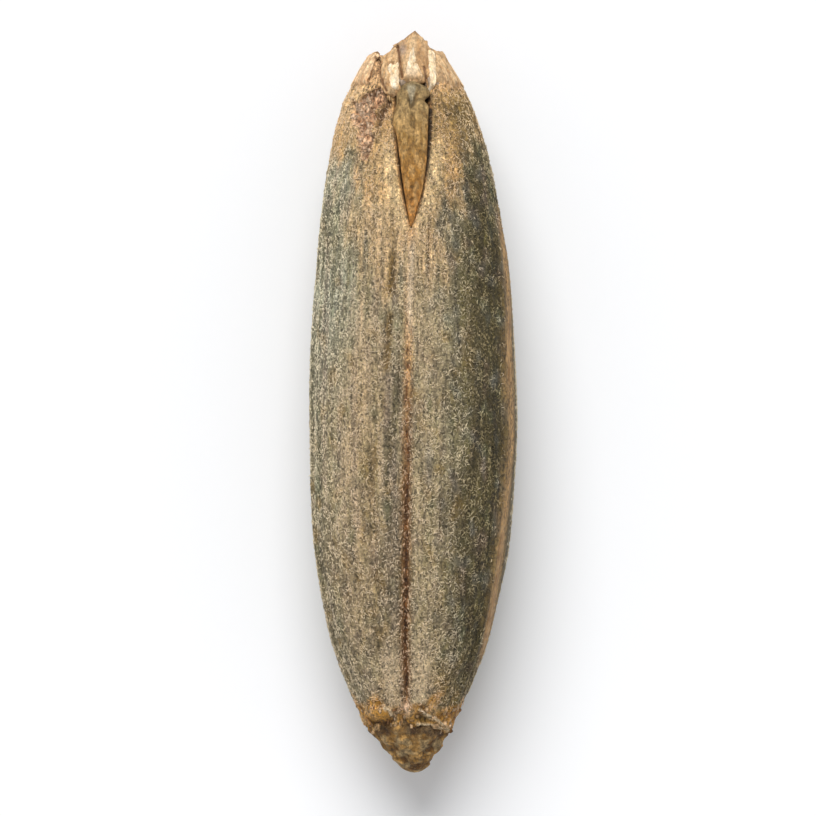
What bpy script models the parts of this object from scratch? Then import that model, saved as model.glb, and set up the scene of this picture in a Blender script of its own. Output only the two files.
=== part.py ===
"""A single rye grain, lying on its round back with its creased face up.

The grain runs along Y. Its frayed end, with the germ, points to +Y and its base scar to -Y, and +X is on the
right of someone who looks down on the creased face. The origin is on the surface that it lies on, under the
middle of its length and width. The sizes below are in millimetres, and MM turns them to metres.
"""

import math
from collections import namedtuple

import bmesh
import bpy
from mathutils import Matrix, Vector, noise

MM = 0.001

# The coat, station by station along the length: (y, value), from the base rim to the frayed end.
HALF_WIDTH = (
    (-3.57, 0.43),
    (-3.08, 0.625),
    (-2.57, 0.815),
    (-1.92, 0.955),
    (-1.27, 1.045),
    (-0.30, 1.095),
    (0.57, 1.08),
    (1.87, 0.98),
    (2.84, 0.825),
    (3.28, 0.68),
    (3.60, 0.52),
)
MIDDLE_X = ((-3.57, -0.05), (-2.57, -0.035), (-0.30, 0.0), (1.87, -0.01), (3.28, -0.055), (3.60, -0.065))
FACE_Z = (
    (-3.57, 1.28), (-3.08, 1.58), (-1.90, 1.94), (-0.30, 2.07), (1.20, 2.01), (2.40, 1.85), (3.28, 1.56), (3.60, 1.38),
)
BACK_Z = (
    (-3.57, 0.60), (-3.08, 0.38), (-1.90, 0.07), (-0.30, -0.035), (1.20, 0.0), (2.40, 0.15), (3.28, 0.41), (3.60, 0.58),
)
WIDEST_AT = 0.46  # share of the thickness, from the back, at which the coat is widest
FACE_FULLNESS = 0.84  # under 1, the creased face is flatter and has fuller shoulders than an ellipse
RIM_ROUNDING = 0.09  # the stretch over which the coat rounds over at its base rim
TIP_ROUNDING = 0.28  # and at its frayed end

COAT_COLUMNS = 84
COAT_RINGS = 50
FACE_CROWDING = 0.42  # brings the columns closer together on the creased face

# The crease down the face: where it runs, how deep its narrow groove is, and the wide valley that it lies in.
CREASE_X = ((-3.50, -0.09), (-1.40, -0.08), (0.0, -0.065), (1.90, -0.024))
CREASE_DEPTH = (
    (-3.50, 0.0), (-3.20, 0.10), (-2.00, 0.13), (-1.20, 0.15), (-0.60, 0.09), (0.60, 0.045), (1.90, 0.025),
)
CREASE_SPREAD = 0.036
VALLEY_DEPTH = ((-3.50, 0.02), (-2.00, 0.09), (-0.60, 0.07), (1.00, 0.04), (2.20, 0.05), (3.00, 0.07), (3.55, 0.03))
VALLEY_SPREAD = 0.21

# A shallow furrow beside the crease, on the left cheek.
FURROW_X = ((-3.40, -0.34), (-1.20, -0.445), (-0.70, -0.41), (0.25, -0.31), (1.60, -0.29), (2.20, -0.27))
FURROW_DEPTH = ((-3.40, 0.0), (-2.60, 0.025), (0.00, 0.03), (1.60, 0.02), (2.20, 0.0))
FURROW_SPREAD = 0.05

# The fold on each flank, where the skin of the back laps over the skin of the face.
RIGHT_FOLD_SINE = 0.47  # how high up the flank the lip lies, as the sine of the angle above the widest line
LEFT_FOLD_SINE = 0.22
FOLD_HEIGHT = ((-3.40, 0.0), (-2.90, 0.030), (0.00, 0.034), (1.60, 0.026), (2.10, 0.0))
FOLD_STEP = 0.05  # how quickly the lip rises, as a sine

# Lengthwise wrinkles all round, and slow swellings under them.
WRINKLE_HEIGHT = 0.026
WRINKLES_ROUND = 2.7
WRINKLE_LENGTH = 2.4
SWELLING_HEIGHT = 0.020
SWELLING_SIZE = 0.9
RAGGED_RIM = 0.05

# The patch beside the germ where the skin has flaked off: a shallow pit with a crumbled floor.
FLAKED_X = -0.44
FLAKED_Y = 2.97
FLAKED_SPREAD_X = 0.13
FLAKED_SPREAD_Y = 0.21
FLAKED_DEPTH = 0.055
CRUMB_HEIGHT = 0.075
CRUMB_SIZE = 0.13

# The germ: a tongue that lies in its own slot in the face, with a rounded head and a sharp lower point.
GERM_HALF_WIDTH = (
    (1.89, 0.012),
    (2.03, 0.055),
    (2.19, 0.088),
    (2.41, 0.122),
    (2.73, 0.165),
    (3.00, 0.187),
    (3.22, 0.186),
    (3.38, 0.150),
    (3.47, 0.06),
)
GERM_X = ((1.89, -0.022), (2.41, -0.004), (3.00, -0.002), (3.47, -0.012))
GERM_RISE = 0.055  # the germ's crown above the slot's lips
GERM_DEPTH = 0.24
GERM_SQUARENESS = 0.8  # under 1, its section is squarer than an ellipse
SLOT_GAP = 0.034
SLOT_DEPTH = 0.20
GERM_COLUMNS = 20
GERM_RINGS = 16

# The frayed end: torn strips of skin that stand out past the coat, a layer on the face side and one on the back.
# slant is the slope of a strip's tip, rising towards +X, and peak the slope down both ways from its middle.
Strip = namedtuple("Strip", "root_x root_z tip_x tip_y tip_z root_half_width tip_half_width slant peak")
STRIPS = (
    Strip(-0.500, 1.10, -0.430, 3.770, 0.99, 0.225, 0.110, 0.00, 0.15),
    Strip(-0.200, 1.31, -0.205, 3.820, 1.12, 0.125, 0.115, 0.70, 0.00),
    Strip(0.000, 1.34, 0.035, 4.000, 1.13, 0.150, 0.190, 0.00, 1.00),
    Strip(0.410, 1.12, 0.300, 3.773, 1.00, 0.255, 0.110, -0.80, 0.00),
    Strip(-0.420, 0.84, -0.330, 3.740, 0.82, 0.210, 0.150, 0.20, 0.30),
    Strip(-0.080, 0.76, -0.060, 3.850, 0.80, 0.180, 0.150, 0.00, 0.60),
    Strip(0.280, 0.82, 0.220, 3.740, 0.80, 0.200, 0.140, -0.30, 0.20),
)
STRIP_ROOT_Y = 3.02
STRIP_HALF_THICKNESS = 0.115
STRIP_SQUARENESS = 0.6
STRIP_BLUNTNESS = 40  # the higher, the closer to its tip a strip keeps its full width
STRIP_SWELL = 0.2  # share of its length over which a strip's buried root grows to full width
STRIP_COLUMNS = 14
STRIP_RINGS = 10

# The base scar: a rough cone that comes out from under the coat's rim.
SCAR_HALF_WIDTH = ((-4.00, 0.03), (-3.94, 0.135), (-3.84, 0.225), (-3.73, 0.30), (-3.58, 0.385), (-3.36, 0.36))
SCAR_TIP_X = 0.018
SCAR_ROOT_X = -0.045
SCAR_Z = 0.95
SCAR_FLATNESS = 0.80
SCAR_ROUGHNESS = 0.030
SCAR_COLUMNS = 24
SCAR_RINGS = 12

BRAN_COLOUR = (0.262, 0.205, 0.120, 1.0)
BRAN_ROUGHNESS = 0.82
SHARP_ANGLE = math.radians(50)


def along(stations, place):
    """The value at a place on the smooth curve through (place, value) stations."""
    places = [station[0] for station in stations]
    values = [station[1] for station in stations]
    if place <= places[0]:
        return values[0]
    if place >= places[-1]:
        return values[-1]
    i = max(k for k, start in enumerate(places[:-1]) if place >= start)
    last = len(places) - 1

    def slope(k):
        before, after = max(k - 1, 0), min(k + 1, last)
        return (values[after] - values[before]) / (places[after] - places[before])

    span = places[i + 1] - places[i]
    t = (place - places[i]) / span
    return (
        (2 * t**3 - 3 * t**2 + 1) * values[i]
        + (t**3 - 2 * t**2 + t) * span * slope(i)
        + (3 * t**2 - 2 * t**3) * values[i + 1]
        + (t**3 - t**2) * span * slope(i + 1)
    )


def bell(distance, spread):
    """1 at no distance, falling away smoothly on both sides."""
    return math.exp(-0.5 * (distance / spread) ** 2)


def eased(t):
    """0 below 0, 1 above 1, and a smooth step between."""
    t = min(max(t, 0.0), 1.0)
    return t * t * (3 - 2 * t)


def powered(value, exponent):
    return math.copysign(abs(value) ** exponent, value)


def rounded_end(distance, rounding):
    """Scales a section down to nothing at an end, as a quarter circle would."""
    if distance >= rounding:
        return 1.0
    return math.sqrt(max(0.0, 1 - (1 - distance / rounding) ** 2))


def flaked_relief(x, y):
    mask = bell(x - FLAKED_X, FLAKED_SPREAD_X) * bell(y - FLAKED_Y, FLAKED_SPREAD_Y)
    crumbs = noise.noise(Vector((x, y, 0)) / CRUMB_SIZE)
    return mask * (CRUMB_HEIGHT * crumbs - FLAKED_DEPTH)


def coat_relief(x, y, sine, cosine):
    """How far the coat stands out of its plain section at one place."""
    wrinkle = noise.noise(Vector((WRINKLES_ROUND * cosine, WRINKLES_ROUND * sine, y / WRINKLE_LENGTH)))
    swelling = noise.noise(Vector((cosine, sine, y)) / SWELLING_SIZE)
    relief = WRINKLE_HEIGHT * wrinkle + SWELLING_HEIGHT * swelling
    fold_sine = RIGHT_FOLD_SINE if x > 0 else LEFT_FOLD_SINE
    relief += along(FOLD_HEIGHT, y) * eased((fold_sine - sine) / FOLD_STEP)
    if sine > 0:
        across = x - along(CREASE_X, y)
        relief -= along(CREASE_DEPTH, y) * bell(across, CREASE_SPREAD)
        relief -= along(VALLEY_DEPTH, y) * bell(across, VALLEY_SPREAD)
        relief -= along(FURROW_DEPTH, y) * bell(x - along(FURROW_X, y), FURROW_SPREAD)
        relief += flaked_relief(x, y)
    return relief


def coat_point(y, turn):
    """A point of the coat at y, turn radians round from the middle of the face."""
    angle = turn - FACE_CROWDING * math.sin(turn)
    sine, cosine = math.cos(angle), math.sin(angle)
    from_rim, from_tip = y - HALF_WIDTH[0][0], HALF_WIDTH[-1][0] - y
    size = rounded_end(from_rim, RIM_ROUNDING) * rounded_end(from_tip, TIP_ROUNDING)
    face, back, middle_x = along(FACE_Z, y), along(BACK_Z, y), along(MIDDLE_X, y)
    middle = back + WIDEST_AT * (face - back)
    x = along(HALF_WIDTH, y) * size * cosine
    if sine > 0:
        z = (face - middle) * size * powered(sine, FACE_FULLNESS)
    else:
        z = (middle - back) * size * sine
    relief = size * coat_relief(x + middle_x, y, sine, cosine)
    ragged = RAGGED_RIM * (1 - eased(from_rim / 0.5)) * noise.noise(Vector((cosine, sine, 0)) * 4)
    return Vector((middle_x + x + relief * cosine, y + ragged, max(middle + z + relief * sine, 0.0))) * MM


def round_form(name, columns, rings, low_y, high_y, place):
    """A closed form along Y: a sphere whose points are put where place(y, turn) says."""
    form = bmesh.new()
    bmesh.ops.create_uvsphere(form, u_segments=columns, v_segments=rings, radius=1)
    bmesh.ops.rotate(form, verts=form.verts, matrix=Matrix.Rotation(-math.pi / 2, 3, "X"))
    for vert in form.verts:
        turn = math.atan2(vert.co.x, vert.co.z)
        share = min(max((vert.co.y + 1) / 2, 0.0), 1.0)
        vert.co = place(low_y + (high_y - low_y) * share, turn)
    bmesh.ops.recalc_face_normals(form, faces=form.faces)
    mesh = bpy.data.meshes.new(name)
    form.to_mesh(mesh)
    form.free()
    return bpy.data.objects.new(name, mesh)


def make_coat():
    return round_form("grain", COAT_COLUMNS, COAT_RINGS, HALF_WIDTH[0][0], HALF_WIDTH[-1][0], coat_point)


def make_germ_form(name, grow, rise, depth):
    """The germ, or with grow the cutter of its slot, which is wider all round by that much."""

    def place(y, turn):
        half_width = along(GERM_HALF_WIDTH, y) + grow
        lip = along(FACE_Z, y) - along(VALLEY_DEPTH, y)
        lean = math.cos(turn)
        z = lip + (rise if lean > 0 else depth) * powered(lean, GERM_SQUARENESS)
        return Vector((along(GERM_X, y) + half_width * powered(math.sin(turn), GERM_SQUARENESS), y, z)) * MM

    low, high = GERM_HALF_WIDTH[0][0] - grow, GERM_HALF_WIDTH[-1][0] + grow
    return round_form(name, GERM_COLUMNS, GERM_RINGS, low, high, place)


def make_strip(index, strip):
    def place(y, turn):
        share = (y - STRIP_ROOT_Y) / (strip.tip_y - STRIP_ROOT_Y)
        size = eased(share / STRIP_SWELL) * math.sqrt(max(0.0, 1 - share**STRIP_BLUNTNESS))
        half_width = strip.root_half_width + (strip.tip_half_width - strip.root_half_width) * share
        x = half_width * size * powered(math.sin(turn), STRIP_SQUARENESS)
        z = STRIP_HALF_THICKNESS * size * powered(math.cos(turn), STRIP_SQUARENESS)
        y += share**3 * (strip.slant * x - strip.peak * abs(x))
        x += strip.root_x + (strip.tip_x - strip.root_x) * share
        z += strip.root_z + (strip.tip_z - strip.root_z) * share
        return Vector((x, y, z)) * MM

    return round_form(f"strip_{index}", STRIP_COLUMNS, STRIP_RINGS, STRIP_ROOT_Y, strip.tip_y, place)


def make_scar():
    low, high = SCAR_HALF_WIDTH[0][0], SCAR_HALF_WIDTH[-1][0]

    def place(y, turn):
        share = (y - low) / (high - low)
        rough = noise.noise(Vector((3 * math.sin(turn), 9 * y, 3 * math.cos(turn))))
        radius = along(SCAR_HALF_WIDTH, y) * eased(min(share, 1 - share) * 12)
        radius += SCAR_ROUGHNESS * rough * eased(share * 6)
        return Vector((
            SCAR_TIP_X + (SCAR_ROOT_X - SCAR_TIP_X) * share + radius * math.sin(turn),
            y,
            SCAR_Z + SCAR_FLATNESS * radius * math.cos(turn),
        )) * MM

    return round_form("scar", SCAR_COLUMNS, SCAR_RINGS, low, high, place)


def bran_material():
    material = bpy.data.materials.new("rye_bran")
    material.use_nodes = True
    shader = material.node_tree.nodes["Principled BSDF"]
    shader.inputs["Base Color"].default_value = BRAN_COLOUR
    shader.inputs["Roughness"].default_value = BRAN_ROUGHNESS
    shader.inputs["Metallic"].default_value = 0.0
    return material


def new_collection(name):
    collection = bpy.data.collections.new(name)
    bpy.context.scene.collection.children.link(collection)
    return collection


def build():
    for obj in list(bpy.data.objects):
        bpy.data.objects.remove(obj)
    grain_collection = new_collection("rye_grain")
    cutters = new_collection("cutters")
    grown_on = new_collection("grown_on")

    grain = make_coat()
    grain.data.materials.append(bran_material())
    grain_collection.objects.link(grain)

    slot_cutter = make_germ_form("slot_cutter", SLOT_GAP, SLOT_DEPTH, SLOT_DEPTH)
    slot_cutter.hide_render = True
    slot_cutter.display_type = "WIRE"
    cutters.objects.link(slot_cutter)

    pieces = [make_germ_form("germ", 0.0, GERM_RISE, GERM_DEPTH), make_scar()]
    pieces += [make_strip(index, strip) for index, strip in enumerate(STRIPS, start=1)]
    for piece in pieces:
        grown_on.objects.link(piece)

    cut = grain.modifiers.new("germ slot", "BOOLEAN")
    cut.operation = "DIFFERENCE"
    cut.object = slot_cutter
    join = grain.modifiers.new("grown together", "BOOLEAN")
    join.operation = "UNION"
    join.operand_type = "COLLECTION"
    join.collection = grown_on
    with bpy.context.temp_override(object=grain, active_object=grain):
        for modifier in (cut, join):
            bpy.ops.object.modifier_apply(modifier=modifier.name)
    for helper in [slot_cutter, *pieces]:
        bpy.data.objects.remove(helper)
    grain.data.set_sharp_from_angle(angle=SHARP_ANGLE)


build()
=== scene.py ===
# %% [markdown]
# # A rye grain under a macro lens
# A rye grain is a dry seed, 8 mm long. It lies on its round back, and the camera looks straight down on its
# creased face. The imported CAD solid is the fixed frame: it gives the place and size of everything below. The
# solid is too plain for a close look, so a finer coat stands for it, made from the same named sizes, and the
# loose parts that the solid only hints at are added as pieces of their own.

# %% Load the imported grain
import math
from collections import namedtuple

import bmesh
import bpy
import numpy as np
from mathutils import Matrix, Vector, noise


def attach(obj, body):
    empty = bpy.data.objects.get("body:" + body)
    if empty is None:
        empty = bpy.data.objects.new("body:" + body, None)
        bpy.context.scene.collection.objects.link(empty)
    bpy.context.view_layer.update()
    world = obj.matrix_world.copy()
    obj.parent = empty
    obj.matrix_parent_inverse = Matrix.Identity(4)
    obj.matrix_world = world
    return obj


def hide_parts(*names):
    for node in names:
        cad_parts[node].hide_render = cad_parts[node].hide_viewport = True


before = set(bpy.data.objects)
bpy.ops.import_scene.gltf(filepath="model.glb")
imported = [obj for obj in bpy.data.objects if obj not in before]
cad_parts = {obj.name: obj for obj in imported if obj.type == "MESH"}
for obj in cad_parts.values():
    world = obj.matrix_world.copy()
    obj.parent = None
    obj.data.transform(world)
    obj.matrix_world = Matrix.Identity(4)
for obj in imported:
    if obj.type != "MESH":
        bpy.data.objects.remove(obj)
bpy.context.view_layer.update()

MM = 0.001  # every size below is in millimetres

# %% [markdown]
# ## Curves, bumps and noise
# A grain has no straight edge and no plain radius, so each size changes smoothly along it. A few stations
# with a smooth curve through them describe that well. The helpers work on whole arrays of points at once,
# because the coat has about a hundred thousand of them.

# %% Helpers for shapes
def along(stations, place):
    """Reads the smooth curve through (place, value) stations at any number of places."""
    at, value = np.array(stations, dtype=float).T
    last = len(at) - 1
    before, after = np.maximum(np.arange(len(at)) - 1, 0), np.minimum(np.arange(len(at)) + 1, last)
    slope = (value[after] - value[before]) / (at[after] - at[before])
    place = np.clip(place, at[0], at[-1])
    i = np.clip(np.searchsorted(at, place, side="right") - 1, 0, last - 1)
    span = at[i + 1] - at[i]
    t = (place - at[i]) / span
    return (
        (2 * t**3 - 3 * t**2 + 1) * value[i]
        + (t**3 - 2 * t**2 + t) * span * slope[i]
        + (3 * t**2 - 2 * t**3) * value[i + 1]
        + (t**3 - t**2) * span * slope[i + 1]
    )


def bell(distance, spread):
    """1 at no distance, fading smoothly to 0."""
    return np.exp(-0.5 * (distance / spread) ** 2)


def blot(x, y, middle, reach, spread):
    """1 in the middle of an oval blot, fading smoothly to 0 round it."""
    return bell(np.hypot((x - middle[0]) / reach[0], (y - middle[1]) / reach[1]), spread)


def eased(t):
    """0 up to 0, 1 from 1 on, and a smooth step between them."""
    t = np.clip(t, 0.0, 1.0)
    return t * t * (3 - 2 * t)


def powered(value, exponent):
    return np.sign(value) * np.abs(value) ** exponent


def rounded_end(distance, rounding):
    """A quarter circle from 0 at the very end to 1 at the given rounding from it."""
    return np.sqrt(np.clip(1 - (1 - np.minimum(distance, rounding) / rounding) ** 2, 0, 1))


def near_lines(x, y, lines, spread):
    """1 on any of the lines, each a run of (x, y) stops, and fading to 0 away from them."""
    near = np.zeros(len(x))
    for line in lines:
        for (from_x, from_y), (to_x, to_y) in zip(line, line[1:]):
            run_x, run_y = to_x - from_x, to_y - from_y
            t = np.clip(((x - from_x) * run_x + (y - from_y) * run_y) / (run_x**2 + run_y**2), 0, 1)
            near = np.maximum(near, bell(np.hypot(x - from_x - t * run_x, y - from_y - t * run_y), spread))
    return near


def rough(points, size, shift=0.0):
    """Smooth random heights, about -1 to 1, in lumps of the given size (one number, or one for each axis)."""
    return np.array([noise.noise(place) for place in (points / np.asarray(size) + shift).tolist()])


def crowded(steps, low, high, density):
    """Moves even steps between low and high closer together where density is high."""
    fine = np.linspace(low, high, 4001)
    filled = np.concatenate([[0.0], np.cumsum(density((fine[1:] + fine[:-1]) / 2))])
    return np.interp(steps, low + (high - low) * filled / filled[-1], fine)


# %% [markdown]
# ## Colours
# The coat's colour follows its relief: brown in the crease, olive brown in the furrow, tan round the germ.
# Painting it on the points as an attribute keeps colour and shape together, and the material adds the fine
# pattern.

# %% Helpers for colours
def linear(colour):
    """An sRGB hex colour as linear red, green and blue."""
    channels = np.array([int(colour[i : i + 2], 16) for i in (1, 3, 5)]) / 255
    return np.where(channels <= 0.04045, channels / 12.92, ((channels + 0.055) / 1.055) ** 2.4)


def painted(base, *layers):
    """Lays (colour, amount) layers over one colour, or over an array with a colour for each point."""
    tint = np.tile(linear(base), (len(layers[0][1]), 1)) if isinstance(base, str) else base
    for colour, amount in layers:
        tint += (linear(colour) - tint) * np.clip(amount, 0, 1)[:, None]
    return tint


# %% [markdown]
# ## Pieces
# Everything that grew is a closed form with a skin all round. The simplest start for such a form is a sphere
# whose poles lie on the grain's long axis: its columns become the ribs and its rings the cross-sections.

# %% Helpers for pieces
def new_form():
    form = bmesh.new()
    form.verts.layers.float_color.new("tint")
    form.verts.layers.float.new("downy")
    return form


def add_sphere(form, columns, rings):
    """Adds a sphere, and returns its points with how far each is turned round the axis and along it."""
    poles_on_y = Matrix.Rotation(-math.pi / 2, 4, "X")
    made = bmesh.ops.create_uvsphere(form, u_segments=columns, v_segments=rings, radius=1, matrix=poles_on_y)
    unit = np.array([vert.co for vert in made["verts"]])
    turn = np.arctan2(unit[:, 0], unit[:, 2])
    share = np.arccos(np.clip(-unit[:, 1], -1, 1)) / math.pi
    return made["verts"], turn, share


def put(form, verts, spots, tint, downy):
    """Moves points to their spots, with a colour and an amount of down for each."""
    tint_layer, downy_layer = form.verts.layers.float_color["tint"], form.verts.layers.float["downy"]
    downy = np.broadcast_to(downy, len(verts)).tolist()
    for vert, spot, colour, amount in zip(verts, (spots * MM).tolist(), tint.tolist(), downy):
        vert.co = spot
        vert[tint_layer] = (*colour, 1.0)
        vert[downy_layer] = amount


def add_object(name, data):
    thing = bpy.data.objects.new(name, data)
    bpy.context.scene.collection.objects.link(thing)
    return thing


def make_piece(name, form, material):
    bmesh.ops.recalc_face_normals(form, faces=form.faces)
    mesh = bpy.data.meshes.new(name)
    form.to_mesh(mesh)
    form.free()
    mesh.shade_smooth()
    mesh.materials.append(material)
    piece = add_object(name, mesh)
    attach(piece, "root")
    mesh.calc_loop_triangles()
    print(f"{name}: {len(mesh.loop_triangles)} triangles")
    return piece


# %% [markdown]
# ## Bran: a dry, matt seed coat
# Bran is a few layers of dead, dry cells, pressed flat and stretched along the grain. It has no shine of its
# own. Close up it shows lengthwise streaks about 0.03 mm wide and a felt of squiggles. The streaks are
# stretched noise, and the squiggles are the thin contour lines of a second, twisted noise.

# %% The bran material
def add_node(material, kind, settings, links=()):
    """Adds one node: settings fill its sockets or properties, and links name what feeds its sockets."""
    node = material.node_tree.nodes.new("ShaderNode" + kind)
    for name, value in settings.items():
        if isinstance(name, int) or name in node.inputs:
            node.inputs[name].default_value = value
        else:
            setattr(node, name, value)
    for name, source in dict(links).items():
        material.node_tree.links.new(source, node.inputs[name])
    return node


FACTOR, COLOUR_A, COLOUR_B, MIXED = 0, 6, 7, 2  # sockets of a Mix node that mixes colours


def new_material(name, roughness, ior):
    material = bpy.data.materials.new(name)
    material.use_nodes = True
    shader = material.node_tree.nodes["Principled BSDF"]
    shader.inputs["Roughness"].default_value = roughness
    shader.inputs["IOR"].default_value = ior
    return material, shader


def stretched_noise(material, size, detail, distortion):
    """Noise in lumps of the given size in millimetres, one for each axis."""
    place = add_node(material, "TexCoord", {})
    scale = [1 / (side * MM) for side in size]
    mapping = add_node(material, "Mapping", {"Scale": scale}, {"Vector": place.outputs["Object"]})
    settings = {"Scale": 1.0, "Detail": detail, "Roughness": 0.6, "Distortion": distortion}
    texture = add_node(material, "TexNoise", settings, {"Vector": mapping.outputs["Vector"]})
    return texture.outputs["Fac"]


def remapped(material, value, low, high, to_low, to_high):
    """Stretches a value's range, low to high, over another range."""
    levels = {"From Min": low, "From Max": high, "To Min": to_low, "To Max": to_high}
    return add_node(material, "MapRange", levels, {"Value": value}).outputs["Result"]


def calculated(material, operation, *values):
    """One step of arithmetic on other nodes' values and plain numbers."""
    settings, links = {"operation": operation}, {}
    for place, value in enumerate(values):
        (settings if isinstance(value, float) else links)[place] = value
    return add_node(material, "Math", settings, links).outputs["Value"]


PLANT_IOR = 1.45  # dry cell walls
PIT_SIZE = (0.026, 0.045, 0.026)  # the dark pits between the squiggles, two or three cells wide


def plant_skin(name, streak_size, squiggle_size, contrast, pit, squiggle, pale, bump_mm, roughness):
    """A matt plant skin in the points' own tint, with streaks, pale squiggles and a fine relief."""
    material, shader = new_material(name, roughness, PLANT_IOR)
    tint = add_node(material, "Attribute", {"attribute_name": "tint"})
    streaks = stretched_noise(material, streak_size, 3.0, 0.4)
    pits = stretched_noise(material, PIT_SIZE, 1.0, 0.6)
    squiggles = stretched_noise(material, squiggle_size, 2.0, 1.6)
    shade = remapped(material, streaks, 0.3, 0.7, 1 - contrast, 1 + contrast)
    pit_shade = remapped(material, pits, 0.34, 0.54, pit, 1.15)
    both = calculated(material, "MULTIPLY", shade, pit_shade)
    fed = {"Vector": tint.outputs["Color"], "Scale": both}
    shaded = add_node(material, "VectorMath", {"operation": "SCALE"}, fed)
    away = calculated(material, "ABSOLUTE", calculated(material, "SUBTRACT", squiggles, 0.5))
    line = remapped(material, away, 0.0, 0.07, 1.0, 0.0)
    colour = add_node(
        material, "Mix", {"data_type": "RGBA", COLOUR_B: (*linear(pale), 1.0)},
        {FACTOR: calculated(material, "MULTIPLY", line, squiggle), COLOUR_A: shaded.outputs["Vector"]},
    )
    height = calculated(material, "ADD", streaks, line)
    settings = {"Strength": 1.0, "Distance": bump_mm * MM}
    relief = add_node(material, "Bump", settings, {"Height": height})
    links = material.node_tree.links
    links.new(colour.outputs[MIXED], shader.inputs["Base Color"])
    links.new(relief.outputs["Normal"], shader.inputs["Normal"])
    return material


bran = plant_skin(
    "dry_bran", streak_size=(0.032, 0.30, 0.032), squiggle_size=(0.045, 0.060, 0.045),
    contrast=0.45, pit=0.35, squiggle=0.14, pale="#D2C09C", bump_mm=0.010, roughness=0.78,
)

# %% [markdown]
# ## Husk, cork, germ skin and down
# The torn strips at the tip are the same skin, bleached and papery, with long straight fibres. The scar
# where the grain sat on its stalk is broken, corky tissue: short lumps and no streaks. The germ's skin is
# thinner and smoother than the bran, with shallow pits. The down is short plant hair, hollow and translucent,
# so each hair is paler than the bran below it and has a soft gleam.

# %% The other materials
husk = plant_skin(
    "papery_husk", streak_size=(0.022, 0.30, 0.022), squiggle_size=(0.05, 0.09, 0.05),
    contrast=0.22, pit=0.80, squiggle=0.12, pale="#EFDDBE", bump_mm=0.006, roughness=0.7,
)
cork = plant_skin(
    "corky_scar", streak_size=(0.06, 0.06, 0.06), squiggle_size=(0.05, 0.06, 0.05),
    contrast=0.45, pit=0.60, squiggle=0.25, pale="#D2AE78", bump_mm=0.014, roughness=0.75,
)
germ_skin = plant_skin(
    "germ_skin", streak_size=(0.028, 0.11, 0.028), squiggle_size=(0.040, 0.055, 0.040),
    contrast=0.30, pit=0.66, squiggle=0.16, pale="#D0AC78", bump_mm=0.007, roughness=0.7,
)
down_skin, down_shader = new_material("plant_hair", 0.5, 1.5)
hair_tint = add_node(down_skin, "Attribute", {"attribute_name": "tint"})
down_skin.node_tree.links.new(hair_tint.outputs["Color"], down_shader.inputs["Base Color"])
print("materials:", [material.name for material in (bran, husk, cork, germ_skin, down_skin)])

# %% [markdown]
# ## The coat
# The body is a spindle with flat shoulders on its creased face. It repeats the named sizes of the CAD solid,
# so it lies exactly where the solid does, and adds what a solid of ten thousand triangles has no room for: a
# crisp slot for the germ, a narrow crease with ragged lips, a flaked patch and fine lengthwise wrinkles.

# %% Sizes of the coat
# Each size is listed from the base to the tip. The last stations carry the taper on to the strips' ends.
HALF_WIDTH = (
    (-3.57, 0.44), (-3.08, 0.625), (-2.57, 0.815), (-1.92, 0.955), (-1.27, 1.045), (-0.30, 1.095),
    (0.57, 1.08), (1.87, 0.98), (2.84, 0.825), (3.28, 0.68), (3.546, 0.5355), (3.71, 0.438), (3.80, 0.385),
    (3.90, 0.30), (4.00, 0.22),
)
MIDDLE_X = (
    (-3.57, -0.043), (-2.57, -0.035), (-0.30, 0.0), (1.87, -0.01), (3.28, -0.055), (3.71, -0.07),
    (4.00, -0.02),
)
FACE_Z = (
    (-3.57, 1.28), (-3.08, 1.58), (-1.90, 1.94), (-0.30, 2.07), (1.20, 2.01), (2.40, 1.85), (3.28, 1.56),
    (3.60, 1.40), (3.80, 1.27), (4.00, 1.13),
)
BACK_Z = (
    (-3.57, 0.60), (-3.08, 0.38), (-1.90, 0.07), (-0.30, -0.035), (1.20, 0.0), (2.40, 0.15), (3.28, 0.41),
    (3.60, 0.57), (3.80, 0.68), (4.00, 0.80),
)
LOW_Y, HIGH_Y = -3.57, 3.78
WIDEST_AT = 0.46  # the widest line's height, as a share of the way from the back to the face
FACE_FULLNESS = 0.84  # below 1, the face has fuller shoulders than an ellipse
RIM_ROUNDING, TIP_ROUNDING = 0.05, 0.06
COLUMNS, RINGS = 316, 314

# Both ends are torn: these say how far up or down the coat reaches, by the angle from the middle of its face.
TORN_TIP_Y = (
    (-180, 3.76), (-150, 3.68), (-120, 3.77), (-100, 3.66), (-80, 3.74), (-62, 3.775), (-44, 3.76),
    (-38, 3.66), (-30, 3.74), (-10, 3.80), (25, 3.80), (34, 3.80), (44, 3.82), (58, 3.79), (74, 3.70),
    (95, 3.64), (118, 3.75), (150, 3.67), (180, 3.76),
)
TORN_BASE_Y = (
    (-180, -3.57), (-130, -3.52), (-90, -3.60), (-60, -3.58), (-42, -3.53), (-20, -3.51), (0, -3.57),
    (18, -3.53), (45, -3.57), (66, -3.61), (100, -3.61), (140, -3.52), (180, -3.57),
)

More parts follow.
